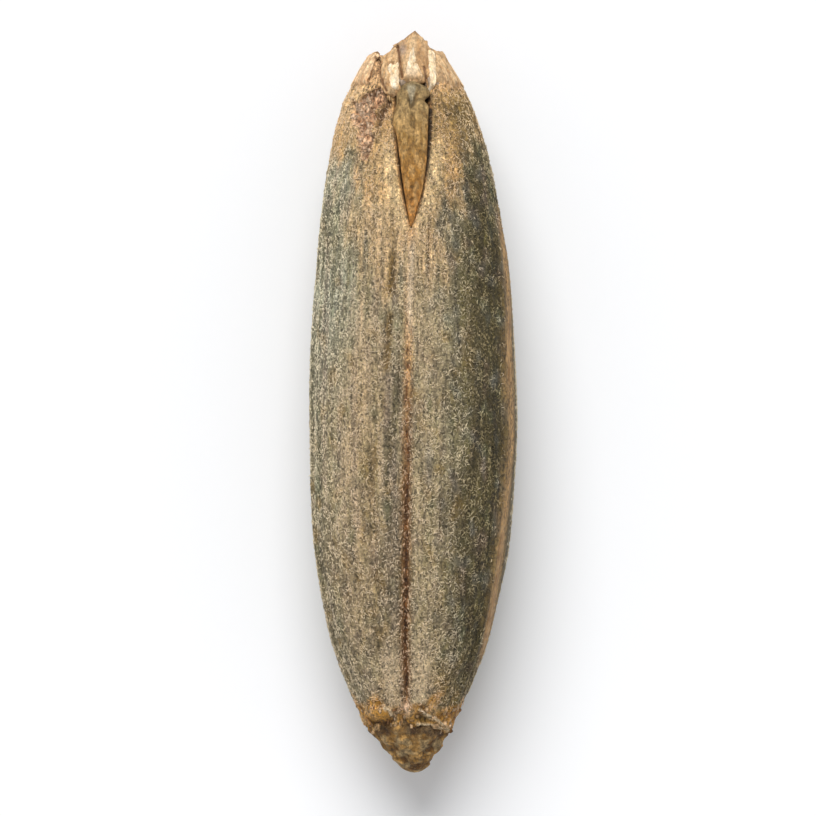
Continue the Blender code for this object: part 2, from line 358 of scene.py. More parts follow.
CREASE_X = ((-3.50, -0.09), (-1.40, -0.08), (0.0, -0.065), (1.90, -0.024))
CREASE_DEPTH = (
    (-3.50, 0.0), (-3.20, 0.07), (-2.00, 0.08), (-1.20, 0.09), (-0.60, 0.05), (0.60, 0.02), (1.90, 0.0),
)
CREASE_BROWN = (
    (-3.45, 0.3), (-3.10, 0.85), (-2.90, 1.0), (-1.10, 1.0), (-0.60, 0.65), (0.20, 0.35), (0.70, 0.20),
    (1.20, 0.0),
)
DARK_LINES = (  # fine dark lines along the face: x, from y, to y
    (-0.206, 1.08, 1.48), (0.173, 1.25, 2.12), (-0.16, -0.2, 0.9), (0.30, -1.5, -0.9),
)
CLEFTS = (  # dark gaps between the torn strips at the tip, each a line through (x, y) stops
    ((-0.400, 3.724), (-0.329, 3.448), (-0.286, 3.362)),
    ((-0.162, 3.850), (-0.141, 3.665), (-0.119, 3.507)),
    ((0.118, 3.620), (0.130, 3.560), (0.157, 3.405)),
)
BASE_RIDGES = (  # pale folds at the base
    ((0.076, -3.313), (0.270, -3.432), (0.368, -3.540)),
    ((-0.303, -3.291), (-0.249, -3.313), (-0.238, -3.367)),
    ((0.050, -3.470), (0.200, -3.480), (0.300, -3.520)),
)
# the gap below the base's left lobe is sunk a little and carries a painted shadow
BELOW_EAR = (((-0.43, -3.46), (-0.33, -3.455), (-0.22, -3.42), (-0.20, -3.34)),)  # below the base's left lobe
VALLEY_DEPTH = (
    (-3.50, 0.02), (-2.00, 0.09), (-0.60, 0.07), (1.00, 0.04), (2.20, 0.05), (3.00, 0.07), (3.55, 0.03),
)
FURROW_X = (
    (-3.40, -0.34), (-1.20, -0.455), (-0.56, -0.435), (-0.29, -0.40), (0.03, -0.352), (0.35, -0.312),
    (0.79, -0.275), (1.60, -0.250), (2.20, -0.24),
)
FURROW_DEPTH = ((-3.40, 0.0), (-2.60, 0.025), (0.00, 0.035), (1.60, 0.025), (2.20, 0.0))
FURROW_BROWN = (
    (-3.40, 0.0), (-3.00, 0.60), (-1.00, 0.60), (0.25, 0.90), (1.60, 1.0), (2.00, 0.55), (2.30, 0.0),
)
FOLD_HEIGHT = ((-3.40, 0.0), (-2.90, 0.030), (0.00, 0.034), (1.60, 0.026), (2.10, 0.0))
FOLD_X = (
    (-3.05, 0.655), (-2.67, 0.755), (-2.13, 0.850), (-1.54, 0.935), (-1.16, 0.980), (-0.84, 1.010),
    (-0.40, 1.035), (0.03, 1.030), (1.11, 1.005), (1.76, 0.960), (2.15, 0.925),
)
LAP_SINE_RIGHT, LAP_SINE_LEFT = 0.47, 0.22  # how high on each flank the back's skin laps over the face's

GERM_HALF_WIDTH = (
    (1.89, 0.012), (2.03, 0.055), (2.19, 0.088), (2.41, 0.122), (2.73, 0.165), (3.00, 0.187), (3.22, 0.186),
    (3.38, 0.150), (3.47, 0.06),
)
GERM_X = ((1.89, -0.022), (2.41, -0.004), (3.00, -0.002), (3.47, -0.012))
SLOT_GAP = 0.034
SLOT_DEPTH = 0.17
PORE_X, PORE_Y, PORE_RADIUS = 0.178, 3.252, 0.040  # the small dark hole at the right of the germ's head

FLAKED_X = ((2.60, -0.53), (2.84, -0.53), (3.06, -0.53), (3.22, -0.49), (3.32, -0.40), (3.40, -0.36))
FLAKED_HALF_WIDTH = ((2.60, 0.03), (2.84, 0.09), (3.06, 0.15), (3.22, 0.19), (3.32, 0.13), (3.40, 0.05))
# The hollow and the arc over it are painted dark: partly their own brown, partly painted shade in the hollow.
CAVITY = (  # the brown hollow at the flaked patch's right: a broad upper run and a narrow lower one
    ((-0.295, 3.250), (-0.345, 3.130), (-0.400, 3.000)),
    ((-0.400, 3.000), (-0.455, 2.830), (-0.519, 2.660)),
)
CAVITY_RIM = (((-0.470, 3.300), (-0.410, 3.352), (-0.335, 3.368), (-0.265, 3.310)),)


# %% Build the coat
def columns_wanted(angle):
    return 30 + 26 * eased((1.75 - np.abs(angle)) / 0.4) + 44 * bell(angle, 0.2)


def rings_wanted(y):
    return 1 + 0.65 * bell(y - 3.2, 0.5) + 0.5 * bell(y + 3.4, 0.25)


def section(y):
    """Half width, middle x, middle z, and the rise to the face and the drop to the back, at y."""
    face, back = along(FACE_Z, y), along(BACK_Z, y)
    middle = back + WIDEST_AT * (face - back)
    return along(HALF_WIDTH, y), along(MIDDLE_X, y), middle, face - middle, middle - back


coat_form = new_form()
coat_verts, turn, share = add_sphere(coat_form, COLUMNS, RINGS)
y = crowded(LOW_Y + (HIGH_Y - LOW_Y) * share, LOW_Y, HIGH_Y, rings_wanted)
angle = crowded(turn, -math.pi, math.pi, columns_wanted)
sine, cosine = np.cos(angle), np.sin(angle)
size = rounded_end(y - LOW_Y, RIM_ROUNDING) * rounded_end(HIGH_Y - y, TIP_ROUNDING)
round_axis = np.column_stack([cosine, sine, y])
torn = 0.03 * rough(round_axis * (9, 9, 0), 1.0)
y = y + (along(TORN_TIP_Y, np.degrees(angle)) + torn - HIGH_Y) * eased((y - 3.3) / 0.48)
y = y + (along(TORN_BASE_Y, np.degrees(angle)) + torn - LOW_Y) * eased((-3.15 - y) / 0.42)
half_width, middle_x, middle_z, rise, drop = section(y)
x = middle_x + half_width * size * cosine
z = middle_z + size * np.where(sine > 0, rise * powered(sine, FACE_FULLNESS), drop * sine)
spots = np.column_stack([x, y, z])

# %% Where the coat's marks are
on_face = sine > 0
wobble = 0.010 * rough(spots, (1.0, 0.10, 1.0)) + 0.02 * rough(spots, (2.0, 0.7, 2.0))
from_crease = x - along(CREASE_X, y) - wobble
from_furrow = x - along(FURROW_X, y) - 1.6 * wobble
from_fold = x - along(FOLD_X, y)
fold_ends = eased((y + 3.05) / 0.3) * eased((2.15 - y) / 0.4)
mark_fold = on_face * (x > 0) * bell(from_fold, 0.030) * fold_ends
mark_outside_fold = on_face * eased((from_fold - 0.035) / 0.02) * fold_ends
broken = eased(0.55 + 1.6 * rough(spots, (0.05, 0.11, 0.05), 8.0))
mark_crease = on_face * bell(from_crease, 0.040) * along(CREASE_BROWN, y)
# painted shade down in the crease's narrow core, broken by noise
crease_core_shade = on_face * bell(from_crease, 0.018) * along(CREASE_BROWN, y) * broken
mark_furrow = on_face * bell(from_furrow, 0.034) * along(FURROW_BROWN, y)
mark_lines = np.zeros(len(y))
for line_x, from_y, to_y in DARK_LINES:
    ends = eased((y - from_y) / 0.2) * eased((to_y - y) / 0.2)
    mark_lines = np.maximum(mark_lines, on_face * ends * bell(x - line_x - wobble, 0.010))
line_pits = on_face * bell(from_crease, 0.024) * eased(3.2 * rough(spots, (0.03, 0.09, 0.03), 14.0) - 0.1)
line_pits = line_pits * eased((1.1 - y) / 0.4) * eased((y + 1.2) / 0.5)
mark_clefts = on_face * near_lines(x, y, CLEFTS, 0.011)
in_slot_y = eased((y - 1.88) / 0.03) * eased((3.505 - y) / 0.02)
slot_reach = along(GERM_HALF_WIDTH, y) + SLOT_GAP * eased((y - 1.95) / 0.5)
mark_slot = on_face * in_slot_y * eased((1 - np.abs(x - along(GERM_X, y)) / slot_reach) * slot_reach / 0.02)
mark_pore = on_face * eased((PORE_RADIUS - np.hypot(x - PORE_X, y - PORE_Y)) / 0.014)
patch_reach = along(FLAKED_HALF_WIDTH, y) * (1 + 0.5 * rough(spots, 0.12))
patch_edge = 1 - np.abs(x - along(FLAKED_X, y)) / patch_reach
in_patch_y = on_face * eased((y - 2.58) / 0.06) * eased((3.42 - y) / 0.06)
mark_flaked = in_patch_y * eased(patch_edge / 0.4)
upper, lower = (near_lines(x, y, (line,), spread) for line, spread in zip(CAVITY, (0.036, 0.016)))
cavity = np.maximum(np.maximum(upper, lower), 0.9 * near_lines(x, y, CAVITY_RIM, 0.020))
mark_cavity = on_face * cavity * eased(0.65 + 1.6 * rough(spots, 0.09, 2.0))
mark_tip = eased((y - 3.30) / 0.25)
mark_base = eased((-3.17 - y + 0.16 * rough(spots, 0.16, 6.0)) / 0.13)
base_ear = on_face * blot(x, y, (-0.346, -3.35), (0.10, 0.075), 0.7)
shadow_below_ear = on_face * near_lines(x, y, BELOW_EAR, 0.022)
base_blob = on_face * blot(x, y, (-0.081, -3.29), (0.07, 0.065), 0.7)
base_hollow = on_face * blot(x, y, (0.13, -3.405), (0.09, 0.05), 0.7)
base_ridge = on_face * near_lines(x, y, BASE_RIDGES, 0.012)
for what, mark in (("slot", mark_slot), ("flaked patch", mark_flaked)):
    print(f"points in the {what}:", int((mark > 0.5).sum()))

# %% Raise and sink the coat's surface
crumpled = rough(spots, (0.11, 0.14, 0.11), 5.5)
crumbly = rough(spots, 0.05)
relief = 0.026 * rough(round_axis * (2.7, 2.7, 1 / 2.4), 1.0) + 0.020 * rough(round_axis, 0.9) - 0.012
relief += (
    0.012 * rough(round_axis * (9, 9, 0.9), 1.0, 7.3)
    + 0.008 * rough(round_axis * (24, 24, 2.2), 1.0, 3.1)
)
relief += 0.005 * rough(spots, 0.07)
lap_sine = np.where(x > 0, LAP_SINE_RIGHT, LAP_SINE_LEFT)
relief += along(FOLD_HEIGHT, y) * eased((lap_sine - sine) / 0.05)
relief -= on_face * along(CREASE_DEPTH, y) * bell(from_crease, 0.034)
relief -= on_face * along(VALLEY_DEPTH, y) * bell(from_crease, 0.21)
relief -= on_face * along(FURROW_DEPTH, y) * bell(from_furrow, 0.05)
bank_away = np.abs(x - along(GERM_X, y)) - slot_reach
relief -= 0.035 * on_face * in_slot_y * (bank_away > 0) * eased(1 - bank_away / 0.09)
relief -= (
    SLOT_DEPTH * mark_slot + 0.15 * mark_pore + 0.02 * mark_lines + 0.06 * mark_clefts + 0.02 * line_pits
)
relief += 0.055 * base_ear + 0.050 * base_blob + 0.035 * base_ridge - 0.06 * base_hollow - 0.05 * shadow_below_ear
relief += mark_flaked * (0.040 * rough(spots, 0.10) + 0.022 * crumbly - 0.045) - 0.08 * mark_cavity
relief += 0.020 * in_patch_y * bell(patch_edge, 0.16)
relief += mark_tip * (0.018 * rough(round_axis * (14, 14, 2.5), 1.0) + 0.012 * crumpled + 0.006 * crumbly)
relief += mark_base * (0.026 * crumpled + 0.009 * crumbly)
relief *= size
coat_spots = spots + np.column_stack([relief * cosine, np.zeros(len(y)), relief * sine])
coat_spots[:, 1] -= 0.12 * eased((y - 3.5) / 0.15) * (1 - size)
coat_spots[:, 2] = np.maximum(coat_spots[:, 2], 0.0)
print("coat height:", round(coat_spots[:, 2].max(), 3), "mm")

# %% [markdown]
# ## The coat's colours
# The grain is tan where its skin is thin, round the germ and along the middle line, and grey-green where the
# layer below shows through. The right cheek is the darkest, a deep olive, and its outer edge is darker still,
# partly its own olive and partly painted shade. The patches have soft, broken edges, so slow noise moves the
# borders between them.

# %% Paint the coat
patchy = rough(spots, (0.35, 0.9, 0.6), 11.0)
blotchy = rough(spots, (0.13, 0.40, 0.3), 5.0)
ribbed = rough(spots, (0.045, 0.8, 0.045), 6.0) + 0.6 * rough(spots, (0.10, 1.6, 0.10), 9.0)
ribbed += 0.5 * rough(spots, (0.024, 0.5, 0.024), 3.0)
TAN_ABOVE_Y = (
    (-1.00, 2.80), (-0.75, 2.35), (-0.50, 1.85), (-0.25, 1.55), (0.00, 1.55), (0.15, 1.70), (0.25, 1.80),
    (0.40, 1.95), (0.50, 2.20), (0.62, 2.65), (0.80, 3.30),
)
streaky = rough(spots, (0.085, 1.1, 0.085), 17.0) + 0.5 * rough(spots, (0.04, 0.6, 0.04), 27.0)
tan_edge = y - along(TAN_ABOVE_Y, x) + 0.9 * patchy + 0.5 * blotchy + 0.5 * ribbed
tan_top = on_face * eased(tan_edge / 1.6 + 0.45)
bright_bank = on_face * bell(bank_away - 0.09, 0.06) * eased((3.0 - y) / 0.4) * eased((y - 1.8) / 0.2)
# brown banks beside the slot: partly their own brown, partly painted shade where they slope into the gap
bank_brown_and_shade = on_face * in_slot_y * eased(1 - bank_away / 0.03)
# painted shade on the coat's right wall of the germ's slot, down in the gap
wall_shade = on_face * (x > 0) * bell(bank_away, 0.014)
wall_shade *= np.maximum(eased((y - 2.3) / 0.3) * eased((3.20 - y) / 0.05), bell(y - 3.275, 0.026))
GREY_FLANK = ((-0.40, 0.0), (0.50, 0.7), (1.20, 1.3), (1.80, 0.2), (2.00, 0.2), (2.45, 1.0), (3.10, 0.0))
grey_flank = on_face * eased((-0.50 - x) / 0.35) * along(GREY_FLANK, y)
left_edge = on_face * bell(x + 0.97 * half_width, 0.06) * eased((2.6 - y) / 0.6)
left_edge *= 1 - 0.8 * bell(y - 1.2, 0.3)
lower_left = on_face * bell(y + 1.9, 0.45) * eased((-0.10 - x) / 0.2)
olive_shoulder = on_face * bell(x - 0.55, 0.20) * bell(y - 3.12, 0.24)
olive_foot = on_face * bell(x - 0.32, 0.10) * bell(y + 3.10, 0.18)
MIDDLE_TAN = ((-3.4, 0.6), (-1.0, 0.7), (0.2, 0.9), (1.9, 1.0))
middle_line = on_face * bell(from_crease, 0.032) * along(MIDDLE_TAN, y)
WARM_CHEEK = ((-3.3, 0.4), (-1.6, 0.9), (0.4, 0.9), (1.3, 0.0))
warm_cheek = on_face * bell(x + 0.55, 0.24) * along(WARM_CHEEK, y)
olive_cheek = on_face * eased((x - 0.12 + 0.16 * patchy) / 0.55) * eased((3.7 - y) / 0.5)
# the right flank's outer edge is darker: partly its own deep olive, partly painted shade where it turns from
# the light
olive_and_shade_edge = on_face * bell(x - 0.84 * half_width, 0.15) * eased((2.9 - y) / 0.9)
olive_and_shade_edge *= 0.3 + 0.7 * eased((y + 3.4) / 1.3)
grey_bank = on_face * bell(x + 0.24, 0.075) * eased((0.9 - y) / 0.8)
beige_bank = on_face * bell(x - 0.13, 0.13) * eased((2.3 - y) / 0.5)
pale_low = on_face * bell(np.abs(x + 0.09) - 0.17, 0.10) * bell(y + 2.98, 0.30)
greenish, violet, yellowish, bluish = (
    eased(1.3 * rough(spots, (0.12, 0.20, 0.2), shift) - 0.1) for shift in (21, 31, 41, 51)
)
speckled = rough(spots, (0.030, 0.042, 0.030), 12.0)
cream_line = on_face * bell(from_crease - 0.01, 0.028) * eased((1.9 - y) / 0.3) * eased((y - 0.55) / 0.4)
felt_tint = painted(
    "#989072",
    ("#A89A7A", 0.8 * eased(0.5 + 1.6 * patchy)),
    ("#D0B48C", 0.85 * warm_cheek),
    ("#A8A891", 0.75 * grey_flank),
    ("#50441F", 0.90 * olive_cheek),
    # partly olive skin, partly painted shade along the right flank's edge
    ("#322A06", 0.72 * olive_and_shade_edge),
    ("#6C5E50", 0.75 * grey_bank),
    ("#B6A17C", 0.80 * beige_bank),
    ("#6E6436", 0.45 * eased(1.8 * streaky) * (1 - tan_top)),
    ("#A8937C", 0.45 * eased(-1.8 * streaky) * eased((0.1 - x) / 0.4)),
    ("#6E6A50", 0.55 * left_edge),
    ("#7A6A48", 0.50 * lower_left),
    ("#D6A96C", 0.80 * tan_top),
    ("#DCC198", 0.65 * tan_top * eased((2.35 - y) / 0.4)),
    ("#E8C592", 0.7 * tan_top * eased((y - 2.6) / 0.5) * eased((-0.4 - x) / 0.2)),
    ("#75602E", 0.85 * olive_shoulder),
    ("#80642C", 0.80 * olive_foot),
    ("#F6D6A0", 0.90 * bright_bank),
    ("#A46E38", 0.7 * bank_brown_and_shade),
    ("#687050", 0.45 * greenish * (1 - tan_top)),
    ("#7F675A", 0.45 * violet * (1 - tan_top)),
    ("#8A6A24", 0.55 * yellowish * eased((0.75 - x) / 0.3)),
    ("#7B7E79", 0.40 * bluish * eased((x + 0.1) / 0.3) * (1 - tan_top)),
    ("#E2B276", 0.85 * middle_line),
    ("#F2DEBE", 0.75 * cream_line),
    ("#E4CBA4", 0.85 * pale_low),
)
felt_tint *= (1 + 0.45 * np.clip(ribbed, -1, 1) + 0.30 * speckled)[:, None]
coat_tint = felt_tint * (1 - np.clip(mark_tip + mark_base, 0, 1))[:, None]
coat_tint += linear("#E8B985") * mark_tip[:, None] + linear("#C9933F") * mark_base[:, None]
furrow_patches = eased(0.65 + 1.8 * rough(spots, (0.6, 0.28, 0.6), 3.0))
coat_tint = painted(
    coat_tint,
    ("#6C521E", 0.90 * mark_furrow * furrow_patches),
    ("#6A3208", 0.9 * line_pits),
    ("#8A5320", 0.8 * mark_crease),
    # painted shade in the crease's core
    ("#38190A", 0.85 * crease_core_shade),
    ("#3F2D14", 0.7 * mark_lines),
    ("#C49A64", 0.90 * mark_fold),
    ("#6F6850", 0.7 * mark_outside_fold * (1 - mark_tip)),
    # The crumpled ends follow their relief: darker in the dips, partly their own mottle and partly painted
    # shade, and at the base paler on the raised folds, partly painted highlight.
    ("#8F6238", 0.6 * mark_tip * eased(-2 * crumpled)),
    ("#E6C08C", 0.6 * mark_base * eased(2.4 * crumpled)),
    ("#74481A", 0.65 * mark_base * eased(-2.4 * crumpled)),
    ("#D89A38", 0.9 * base_ear),
    # painted shadow in the gap below the left lobe
    ("#54320F", 0.85 * shadow_below_ear),
    ("#F4CFAC", 0.9 * base_blob),
    ("#6A5830", 0.85 * base_hollow),
    ("#F4DCB6", 0.9 * base_ridge),
    ("#D8A880", 0.9 * mark_flaked),
    ("#EECBA6", 0.6 * mark_flaked * eased(2.5 * crumbly)),
    ("#A8724C", 0.60 * mark_flaked * eased(-2.5 * crumbly)),
    # partly brown skin, partly painted shade in the hollow
    ("#54301A", 0.85 * mark_cavity),
    # the slot's floor painted near black: painted shade down in the gap round the germ
    ("#2A140A", 0.9 * mark_slot),
    # painted shade on the slot's right wall
    ("#1C0D06", 0.9 * wall_shade),
    # painted shade in the clefts between the torn strips
    ("#5E341A", 0.75 * mark_clefts),
    # the pore painted black: painted shade in the hole
    ("#0C0502", mark_pore),
)
beside_slot = on_face * in_slot_y * eased(1.3 - bank_away / 0.04)
beside_fold = 1.3 * on_face * (x > 0) * bell(from_fold, 0.060) * fold_ends
bare = beside_fold + beside_slot + 2 * mark_pore + mark_flaked + 0.6 * mark_crease + 0.6 * mark_furrow
bare = np.clip(bare + line_pits + 0.35 * cream_line, 0, 1)
coat_downy = (1 - bare) * eased((3.5 - y) / 0.2) * eased((y + 3.4) / 0.25)
put(coat_form, coat_verts, coat_spots, coat_tint, coat_downy)
coat = make_piece("bran_coat", coat_form, bran)
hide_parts("grain")

# %% [markdown]
# ## The germ
# The germ lies in its slot like a tongue, with a rounded head and a sharp lower point. A dark gap runs down
# both sides, open in some places and closed in others, so the tongue's two edges have their own gaps. Its
# right edge gives way to a small dark pore beside the head.

# %% Build the germ
LEFT_GAP = (
    (1.90, 0.004), (2.30, 0.038), (2.85, 0.038), (2.98, 0.008), (3.12, 0.018), (3.22, 0.048), (3.47, 0.010),
)
RIGHT_GAP = (
    (1.90, 0.002), (2.20, 0.016), (2.57, 0.034), (2.90, 0.052), (3.15, 0.050), (3.34, 0.010), (3.47, 0.008),
)
GERM_RISE = 0.055
GERM_DEPTH = 0.17
FACET_X, FACET_LOW_Y = -0.018, 3.168  # a pale, sunken V on the head, and its point

germ_form = new_form()
germ_verts, turn, share = add_sphere(germ_form, 112, 150)
low, high = GERM_HALF_WIDTH[0][0], GERM_HALF_WIDTH[-1][0]
y = low + (high - low) * (0.6 * share + 0.4 * (1 - np.cos(math.pi * share)) / 2)
side, lean = np.sin(turn), np.cos(turn)
gap = np.where(side < 0, along(LEFT_GAP, y), along(RIGHT_GAP, y) + 0.055 * bell(y - PORE_Y, 0.026))
wall = along(GERM_HALF_WIDTH, y) + SLOT_GAP * eased((y - 1.95) / 0.5)
reach = np.maximum(wall - gap, 0.003) * rounded_end(high - y, 0.10) * rounded_end(y - low, 0.05)
x = along(GERM_X, y) + reach * powered(side, 0.8)
lip = along(FACE_Z, y) - along(VALLEY_DEPTH, y)
rise_here = GERM_RISE * (0.35 + 0.65 * eased((y - 2.1) / 0.6)) + 0.02 * bell(y - 3.36, 0.12)
z = lip - 0.02 + np.where(lean > 0, rise_here + 0.02, GERM_DEPTH) * lean
germ_spots = np.column_stack([x, y, z])
facet_reach = 0.055 * np.clip((y - FACET_LOW_Y) / 0.20, 0.0, 1.0)
facet_side = np.abs(x - FACET_X) - facet_reach
facet = eased(-facet_side / 0.02) * eased((y - FACET_LOW_Y) / 0.03) * eased((3.45 - y) / 0.06)
facet_edge = bell(facet_side, 0.011) * eased((y - FACET_LOW_Y + 0.02) / 0.02) * eased((3.34 - y) / 0.10)
pits = bell(x + 0.005, 0.016) * eased(3 * rough(germ_spots, (1, 0.045, 1), 2.0)) * eased((3.15 - y) / 0.1)
top_side = lean > 0
mottled = rough(germ_spots, (0.045, 0.12, 0.045), 4.0)
germ_relief = (
    0.010 * rough(germ_spots, (0.05, 0.35, 0.05)) + 0.010 * mottled + 0.006 * rough(germ_spots, 0.03)
)
germ_spots[:, 2] += top_side * (germ_relief - 0.014 * facet - 0.022 * facet_edge - 0.02 * pits)
germ_tint = painted(
    "#CA883E",
    ("#A8742C", eased((y - 2.05) / 0.35)),
    ("#A07A3C", eased((y - 2.40) / 0.5)),
    ("#A2885A", 0.9 * eased((y - 2.85) / 0.4)),
    ("#D2AA70", 0.42 * eased(0.4 + 2 * mottled)),
    ("#C28A48", 0.55 * eased((np.abs(side) - 0.75) / 0.2) * eased((3.1 - y) / 0.3)),
    ("#75501F", 0.50 * eased(-2.2 * mottled)),
    ("#7A6A48", 0.6 * eased((y - 3.34) / 0.05)),
    ("#B9AF94", 0.7 * facet * top_side),
    ("#38290F", 0.9 * facet_edge * top_side),
    ("#54401F", 0.7 * pits * top_side),
    # painted shade of the pore on the germ's edge beside it
    ("#1A0C05", 0.8 * bell(np.hypot(x - PORE_X, y - PORE_Y), 0.032)),
    # painted shade on the germ's sides and underside, down in the slot
    ("#3A2410", 0.8 * eased((0.30 - lean) / 0.3) * eased((y - 2.0) / 0.3)),
)
put(germ_form, germ_verts, germ_spots, germ_tint, 0.8 * eased(lean / 0.4) * (1 - 0.7 * facet))
make_piece("germ_tongue", germ_form, germ_skin)

# %% [markdown]
# ## The torn tip
# At the tip the skin is torn into strips that close over the end like the scales of a bud. The coat's own end
# is ragged, and longer strips stand out of it, with a broad one on each shoulder. Each follows the coat's
# taper, drawn on to the tip, so that all of them look like one skin that has split. Cream shreds, bare of
# down, lie on top.

# %% Build the torn strips
# A strip has its middle and half its reach in degrees round the grain at its root and at its tip, where it
# starts and ends, how far it stands off the coat, how thick it is, and how slanted and how peaked its end is.
ROOT_SINK = 0.07  # how far a strip's root goes under the coat
# The third colour of each husk is laid in a strip's dips, partly as painted shade, and on its underside as
# painted shade.
TAN_HUSK = ("#C79C6A", "#DDBB8E", "#8A5F36")  # the colour of a strip, of its fibres and of its hollows
PINK_HUSK = ("#DDAE7E", "#F0CFA2", "#99643C")
GREY_HUSK = ("#9C8672", "#B8A48E", "#5A4534")
CREAM_HUSK = ("#EED0A4", "#FAEBD0", "#D2A36C")
Strip = namedtuple("Strip", "root_turn root_reach tip_turn tip_reach root_y tip_y lift thickness slant peak")
LOBES = (
    Strip(-15, 8, -23, 14, 3.28, 3.82, 0.010, 0.028, 0.70, 0.00),
    Strip(8, 14, 11, 34, 3.40, 4.01, -0.006, 0.040, -0.05, 0.75),
    Strip(40, 10, 44, 16, 3.40, 3.84, -0.012, 0.030, -0.70, 0.00),
    Strip(112, 14, 116, 12, 3.36, 3.80, 0.000, 0.026, 0.40, 0.00),
    Strip(160, 14, 156, 14, 3.34, 3.84, 0.000, 0.026, 0.00, 0.60),
    Strip(-165, 12, -162, 12, 3.30, 3.86, 0.002, 0.026, -0.40, 0.30),
    Strip(-118, 12, -122, 12, 3.36, 3.80, 0.000, 0.026, 0.00, 0.50),
)
SHOULDERS = (
    Strip(-60, 13, -61, 15, 3.38, 3.775, 0.004, 0.026, 0.10, 0.10),
    Strip(62, 13, 60, 15, 3.36, 3.795, 0.004, 0.026, -0.30, 0.10),
)
INNER_STRIPS = (
    Strip(-7, 6, -9, 9, 3.36, 3.90, -0.036, 0.030, 0.80, 0.00),
    Strip(30, 10, 40, 14, 3.36, 3.84, -0.036, 0.030, -0.60, 0.00),
)
SHREDS = (
    Strip(-10.5, 2.5, -15.5, 7.0, 3.31, 3.67, 0.034, 0.010, 0.0, 0.2),
    Strip(7, 13.5, 8, 0.8, 3.41, 3.86, 0.030, 0.012, 0.0, 0.3),
    Strip(23, 2.4, 39, 6.0, 3.33, 3.81, 0.028, 0.012, -0.8, 0.0),
    Strip(100, 3.0, 98, 4.0, 3.34, 3.68, 0.006, 0.010, 0.0, 0.4),
    Strip(-95, 3.0, -99, 4.0, 3.34, 3.70, 0.006, 0.010, 0.0, 0.4),
    Strip(176, 4.0, 172, 4.0, 3.34, 3.78, 0.010, 0.010, 0.0, 0.4),
)


def coat_spots_at(turn, y, lift):
    """Spots on the plain coat: turn radians round it from the middle of the face, lifted off it."""
    sine, cosine = np.cos(turn), np.sin(turn)
    half_width, middle_x, middle_z, rise, drop = section(y)
    z = middle_z + np.where(sine > 0, rise * powered(sine, FACE_FULLNESS), drop * sine)
    return np.column_stack([middle_x + (half_width + lift) * cosine, y, z + lift * sine])


def add_strip(form, strip, columns, rings, colours, seed, texture=1.0, tan_root=0.0):
    """Adds one torn strip that follows the coat, with ragged edges and lengthwise fibres."""
    verts, turn, share = add_sphere(form, columns, rings)
    across, up = powered(np.sin(turn), 0.55), powered(np.cos(turn), 0.6)
    body = eased(share / 0.12) * np.sqrt(np.clip(1 - share**26, 0, 1))
    centre = np.radians(strip.root_turn + (strip.tip_turn - strip.root_turn) * share)
    reach = np.radians(strip.root_reach + (strip.tip_reach - strip.root_reach) * share)
    y = strip.root_y + (strip.tip_y - strip.root_y) * share
    seeds = np.full(len(y), seed)

    def seeded(around, lengthwise):
        return rough(np.column_stack([around, lengthwise, seeds]), 1.0)

    ragged = seeded(across * 2, y / 0.07)
    turned = centre + reach * body * across * (1 + 0.3 * ragged * (0.3 + share))
    beside = along(HALF_WIDTH, y) * (np.sin(turned) - np.sin(centre))
    notches = seeded(turned * 9, 0 * y)
    y = y + share**3 * (strip.slant * beside - strip.peak * np.abs(beside)) + 0.05 * share**8 * notches
    fibres, lumps = seeded(turned * 22, y / 0.35), seeded(turned * 10, y / 0.09)
    crumbs = seeded(turned * 26, y / 0.04)
    lift = (strip.lift + ROOT_SINK) * eased(share / 0.28) - ROOT_SINK
    textured = 0.010 * fibres + 0.014 * lumps + 0.005 * crumbs
    lift = lift + body * up * strip.thickness + (up > 0) * texture * textured
    spots = coat_spots_at(turned, y, lift)
    strip_x, strip_y, on_top = spots[:, 0], spots[:, 1], np.cos(turned) > 0
    cleft = near_lines(strip_x, strip_y, CLEFTS, 0.009) * (up > 0) * on_top
    violet = blot(strip_x, strip_y, (-0.115, 3.81), (0.035, 0.06), 0.8) * on_top
    brown = blot(strip_x, strip_y, (0.10, 3.75), (0.07, 0.11), 0.8) * on_top
    spots[:, 2] -= 0.035 * cleft
    base, light, dark = colours
    tint = painted(
        base,
        (light, 0.8 * eased(0.4 + 1.8 * fibres)),
        # darker in the dips between the lumps: partly the husk's own mottle, partly painted shade
        (dark, 0.60 * texture * eased(0.1 - 1.9 * lumps)),
        (light, 0.4 * eased(2.5 * crumbs)),
        (TAN_HUSK[0], tan_root * eased(1.2 - share / 0.5)),
        ("#A08B7C", 0.8 * texture * violet),
        ("#8E6238", 0.8 * texture * brown * eased(0.5 + 1.5 * lumps + crumbs)),
        # painted shade on the strip's underside and lower sides
        (dark, 0.60 * eased((0.30 - up) / 0.30)),
        # painted shade in the clefts between the strips
        ("#5E341A", 0.8 * cleft),
    )
    put(form, verts, spots, tint, 0.0)


torn_form = new_form()
for number, strip in enumerate(LOBES):
    columns = 110 if abs(strip.tip_turn) < 30 else 56
    add_strip(torn_form, strip, columns, 84, TAN_HUSK, number * 3.7)
for number, (strip, colours) in enumerate(zip(SHOULDERS, (PINK_HUSK, TAN_HUSK))):
    add_strip(torn_form, strip, 70, 60, colours, 60 + number * 3.1)
for number, strip in enumerate(INNER_STRIPS):
    add_strip(torn_form, strip, 36, 40, GREY_HUSK, 40 + number * 2.9)
make_piece("torn_tip", torn_form, husk)
shred_form = new_form()
for number, strip in enumerate(SHREDS):
    tan_root = 0.9 if number == 1 else 0.0  # the middle shred grows out of tan skin
    add_strip(shred_form, strip, 40, 70, CREAM_HUSK, 80 + number * 5.1, texture=0.3, tan_root=tan_root)
make_piece("cream_shreds", shred_form, husk)

